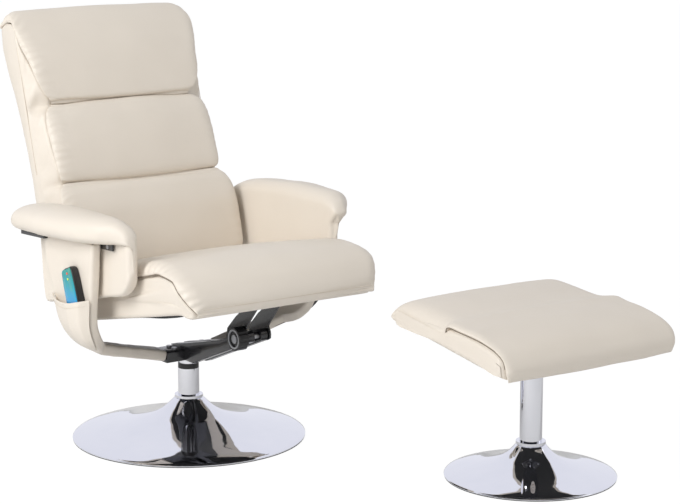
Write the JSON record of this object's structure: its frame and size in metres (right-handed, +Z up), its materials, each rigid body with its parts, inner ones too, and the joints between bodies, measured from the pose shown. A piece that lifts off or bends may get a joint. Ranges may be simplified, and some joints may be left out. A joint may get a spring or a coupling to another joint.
{
  "type": "recliner with footstool",
  "caption": "Swivel recliner with padded armrests on bent side frames, a reclining channelled back, a gliding seat and a matching round-based footstool.",
  "frame": {"origin": "centre of the chair's round base at the floor, on its swivel axis", "axes": "+Z up, the chair faces -Y, its own left side is +X, and the footstool stands in front of it towards +X"},
  "size_m": [1.0776, 1.4246, 1.006],
  "materials": {
    "cream_leather": "smooth, softly glossy faux leather",
    "chrome": "polished",
    "black_steel": "semi-gloss black",
    "plain_steel": "zinc plated",
    "black_plastic": "satin",
    "grey_plastic": "satin",
    "blue_face": "printed overlay, gloss",
    "led_lens": "clear coloured",
    "ballast_iron": "raw",
    "floor_rubber": "matt",
    "plywood": "raw",
    "black_cloth": "non-woven",
    "foam": "open-cell foam",
    "circuit_board": "laminate"
  },
  "bodies": {
    "chair_base": {"chair_floor_pad": "floor_rubber", "chair_ballast_plate": "ballast_iron", "chair_base_shell": "chrome", "chair_base_collar": "chrome", "chair_post": "chrome", "chair_base_bolt": "plain_steel", "swivel_bushing": "black_plastic"},
    "swivel_frame": {"swivel_spindle": "chrome", "hub_tube": "black_steel", "hub_bolts": "plain_steel", "rise_arms": "black_steel", "lock_rod": "plain_steel", "side_bars": "black_steel", "side_frame_left": "cream_leather", "side_frame_right": "cream_leather", "armrest_rails": "black_steel", "armrest_left": "cream_leather", "armrest_right": "cream_leather", "armrest_bolts": "plain_steel", "remote_pocket": "cream_leather"},
    "knob": {"lock_knob": "black_plastic", "lock_knob_trim": "grey_plastic"},
    "backrest": {"back_shell": "cream_leather", "lumbar_cushion": "cream_leather", "mid_cushion": "cream_leather", "head_cushion": "cream_leather", "back_frame": "black_steel", "back_webbing": "black_cloth", "back_hinge_plates": "black_steel", "back_pins": "plain_steel", "back_motors": "black_plastic"},
    "seat": {"seat_box": "cream_leather", "seat_cushion": "cream_leather", "seat_foam": "foam", "seat_webbing": "black_cloth", "seat_frame": "black_steel", "seat_board": "plywood", "seat_dust_cover": "black_cloth", "seat_hinge_arms": "black_steel", "seat_brackets": "black_steel", "seat_bolts": "plain_steel", "seat_motor": "black_plastic"},
    "remote": {"remote_case": "black_plastic", "remote_face": "blue_face", "remote_board": "circuit_board", "remote_leds": "led_lens"},
    "button_1": {"remote_button_1": "black_plastic"},
    "button_2": {"remote_button_2": "black_plastic"},
    "footstool": {"stool_floor_pad": "floor_rubber", "stool_ballast_plate": "ballast_iron", "stool_base_shell": "chrome", "stool_base_collar": "chrome", "stool_base_bolt": "plain_steel", "stool_post": "chrome", "stool_top_plate": "black_steel", "stool_bolts": "plain_steel", "stool_board": "plywood", "stool_box": "cream_leather", "stool_cushion": "cream_leather", "stool_dust_cover": "black_cloth"}
  },
  "joints": [
    {"name": "chair_swivel", "type": "hinge", "parent": "chair_base", "child": "swivel_frame", "pos_m": [0, 0, 0.15], "axis": [0, 0, 1], "continuous": true},
    {"name": "back_recline", "type": "hinge", "parent": "swivel_frame", "child": "backrest", "pos_m": [0, 0.205, 0.5], "axis": [-1, 0, 0], "range_deg": [0, 20]},
    {"name": "seat_glide", "type": "slide", "parent": "swivel_frame", "child": "seat", "axis": [0, -0.9781, 0.2079], "range_m": [0, 0.0521]},
    {"name": "lock_knob_turn", "type": "hinge", "parent": "swivel_frame", "child": "knob", "pos_m": [-0.045, -0.29, 0.30001], "axis": [-1, 0, 0], "range_deg": [0, 360]},
    {"name": "remote_lift", "type": "slide", "parent": "swivel_frame", "child": "remote", "axis": [0, 0.2756, 0.9613], "range_m": [0, 0.05]},
    {"name": "button_press_1", "type": "slide", "parent": "remote", "child": "button_1", "axis": [1, 0, 0], "range_m": [0, 0.0005], "stiffness_N_per_m": 400, "springref_m": -0.0005},
    {"name": "button_press_2", "type": "slide", "parent": "remote", "child": "button_2", "axis": [1, 0, 0], "range_m": [0, 0.0005], "stiffness_N_per_m": 400, "springref_m": -0.0005},
    {"name": "footstool_place", "type": "slide", "parent": "chair_base", "child": "footstool", "axis": [0, -1, 0], "range_m": [-0.08, 0.3]}
  ],
  "couplings": [
    {"joint": "seat_glide", "follows": "back_recline", "m_per_rad": 0.149}
  ]
}
